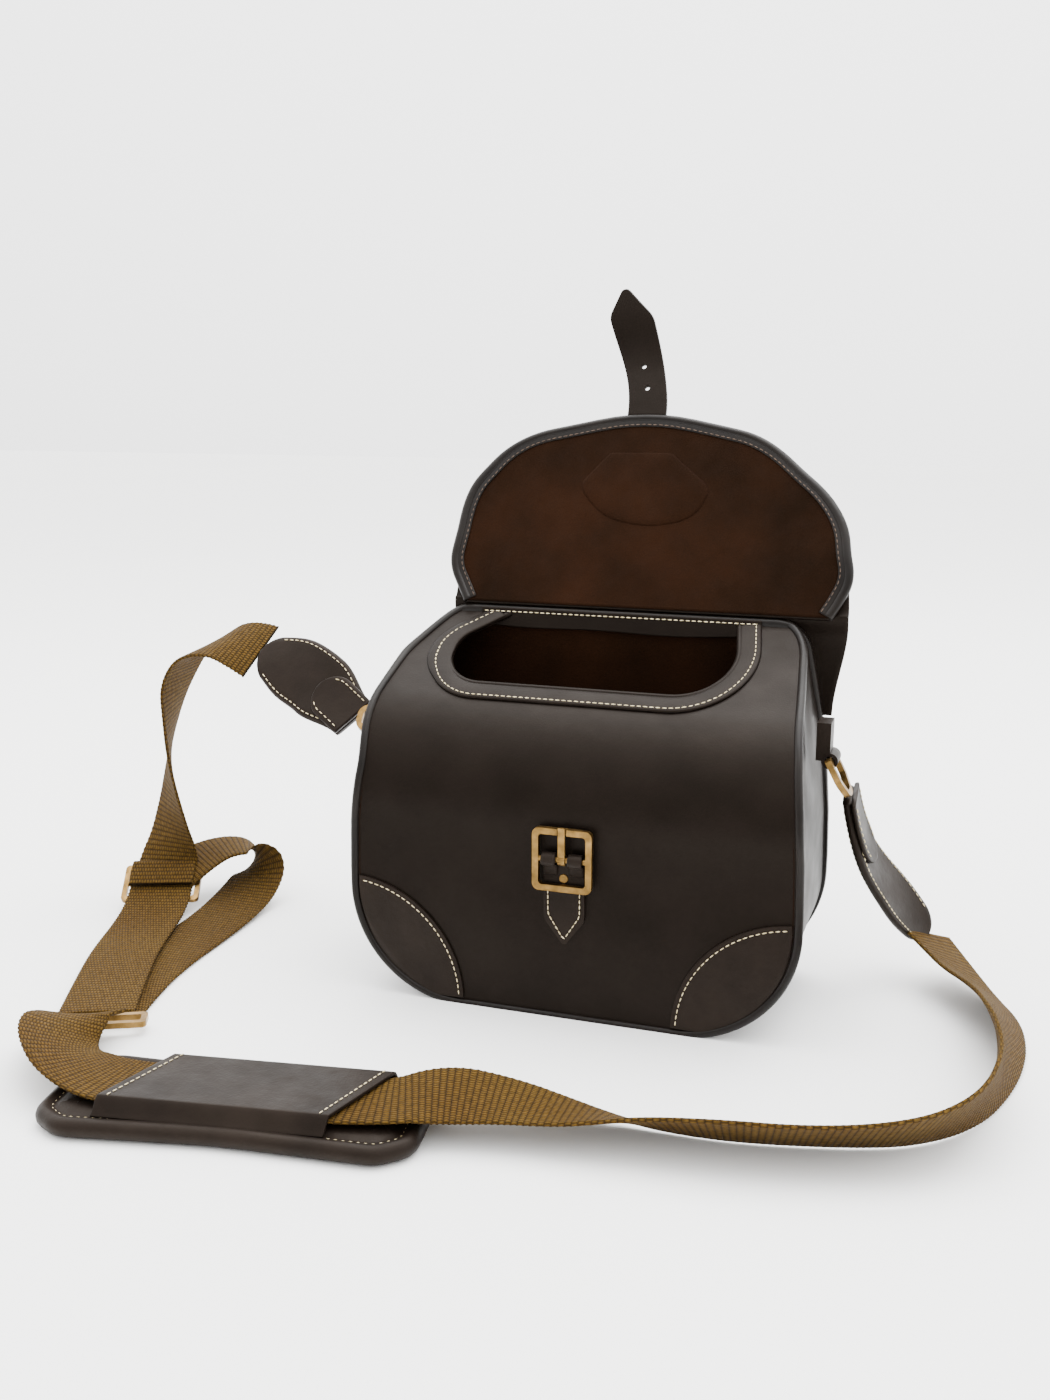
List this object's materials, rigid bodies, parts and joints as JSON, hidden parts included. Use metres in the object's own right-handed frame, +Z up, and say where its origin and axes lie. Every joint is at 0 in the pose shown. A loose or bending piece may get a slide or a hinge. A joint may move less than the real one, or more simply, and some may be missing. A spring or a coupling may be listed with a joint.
{
  "type": "leather shoulder bag",
  "caption": "Small leather shooting bag with a hinged lid, front buckle, closing strap and a padded webbing shoulder strap.",
  "frame": {"origin": "centre of the flat base that the bag stands on", "axes": "+X to the bag's own width, right as seen from the buckle; -Y is the buckle side; +Z up"},
  "size_m": [0.6003, 0.424, 0.4144],
  "materials": {
    "bag_leather": "smooth dark brown bridle leather",
    "edge_leather": "rolled and stitched dark brown leather",
    "patch_leather": "dark brown leather, slightly greyer",
    "suede": "brown suede lining",
    "antique_brass": "antique brass",
    "webbing": "khaki woven webbing",
    "stitching": "waxed cream linen thread",
    "pad_filling": "closed foam under leather"
  },
  "bodies": {
    "root": {"front_panel": "bag_leather", "gusset": "bag_leather", "back_panel": "bag_leather", "front_lining": "suede", "gusset_lining": "suede", "back_lining": "suede", "front_piping": "edge_leather", "back_binding": "edge_leather", "mouth_facing": "edge_leather", "corner_patch_left": "patch_leather", "corner_patch_right": "patch_leather", "buckle_chape": "patch_leather", "chape_rivet": "antique_brass", "ring_tab_left": "bag_leather", "ring_tab_right": "bag_leather", "strap_chape_left": "bag_leather", "strap_chape_right": "bag_leather", "webbing_upper": "webbing", "webbing_slack": "webbing", "webbing_lower": "webbing", "slider": "antique_brass", "strap_ring": "antique_brass", "pad_base": "bag_leather", "pad_foam": "pad_filling", "pad_loop": "bag_leather"},
    "lid_rear": {"lid_rear": "bag_leather", "lid_rear_lining": "suede", "lid_patch": "suede"},
    "lid_front": {"lid_front": "bag_leather", "lid_front_lining": "suede"},
    "closing_strap": {"closing_strap": "patch_leather"},
    "buckle_frame": {"buckle_frame": "antique_brass"},
    "buckle_prong": {"buckle_prong": "antique_brass"},
    "ring_left": {"d_ring_left": "antique_brass"},
    "ring_right": {"d_ring_right": "antique_brass"}
  },
  "joints": [
    {"name": "lid_hinge", "type": "hinge", "parent": "root", "child": "lid_rear", "pos_m": [0, 0.0551, 0.224], "axis": [1, 0, 0], "range_deg": [-60, 146]},
    {"name": "lid_bend", "type": "hinge", "parent": "lid_rear", "child": "lid_front", "pos_m": [0, 0.10346, 0.31494], "axis": [1, 0, 0], "range_deg": [-10.8, 26.3]},
    {"name": "strap_bend", "type": "hinge", "parent": "lid_front", "child": "closing_strap", "pos_m": [0, 0.11787, 0.34205], "axis": [1, 0, 0], "range_deg": [-60, 8]},
    {"name": "buckle_rock", "type": "hinge", "parent": "root", "child": "buckle_frame", "pos_m": [0, -0.0637, 0.098], "axis": [-1, 0, 0], "range_deg": [-5, 3]},
    {"name": "prong_swing", "type": "hinge", "parent": "buckle_frame", "child": "buckle_prong", "pos_m": [0, -0.0637, 0.098], "axis": [-1, 0, 0], "range_deg": [-110, 0]},
    {"name": "ring_left_swing", "type": "hinge", "parent": "root", "child": "ring_left", "pos_m": [-0.1365, 0.015, 0.149], "axis": [0, 0.6428, 0.766], "range_deg": [-8, 8]},
    {"name": "ring_right_swing", "type": "hinge", "parent": "root", "child": "ring_right", "pos_m": [0.1365, 0.015, 0.149], "axis": [0, 1, 0], "range_deg": [-8, 8]}
  ],
  "couplings": [
    {"joint": "lid_bend", "follows": "lid_hinge", "ratio": 0.18}
  ]
}
